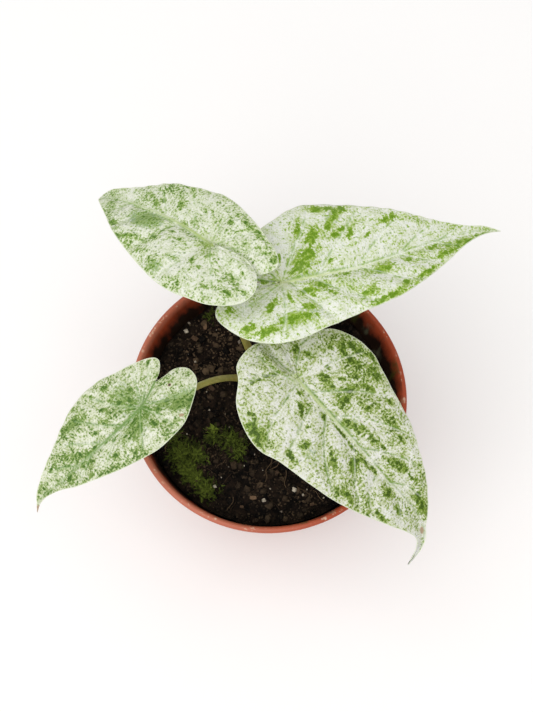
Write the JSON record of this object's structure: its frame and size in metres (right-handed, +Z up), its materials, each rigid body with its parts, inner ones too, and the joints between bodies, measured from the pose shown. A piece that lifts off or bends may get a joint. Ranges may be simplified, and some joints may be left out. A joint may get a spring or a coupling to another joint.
{
  "type": "potted alocasia",
  "caption": "Young variegated alocasia: pointed heart-shaped leaves hang on slim stalks that rise from a corm in soil, in a round tapered nursery pot.",
  "frame": {"origin": "centre of the pot's underside", "axes": "+Z up along the pot's axis; +X along the longest leaf's side of the plant; -Y towards the side that the plant is seen from"},
  "size_m": [0.1468, 0.1145, 0.175],
  "materials": {
    "pot": "satin moulded terracotta-coloured polypropylene",
    "soil": "damp, dark potting mix with crumbs, bark and moss",
    "corm": "dry brown scales",
    "stalk": "smooth olive-green leaf stalk",
    "leaf": "semi-matt cream-white blade, speckled and splashed with green"
  },
  "bodies": {
    "root": {"pot": "pot", "soil": "soil", "corm": "corm", "stalk_top": "stalk", "stalk_right": "stalk", "stalk_front": "stalk", "stalk_left": "stalk", "leaf_top": "leaf", "leaf_right": "leaf", "leaf_front": "leaf", "leaf_left": "leaf"}
  },
  "joints": []
}
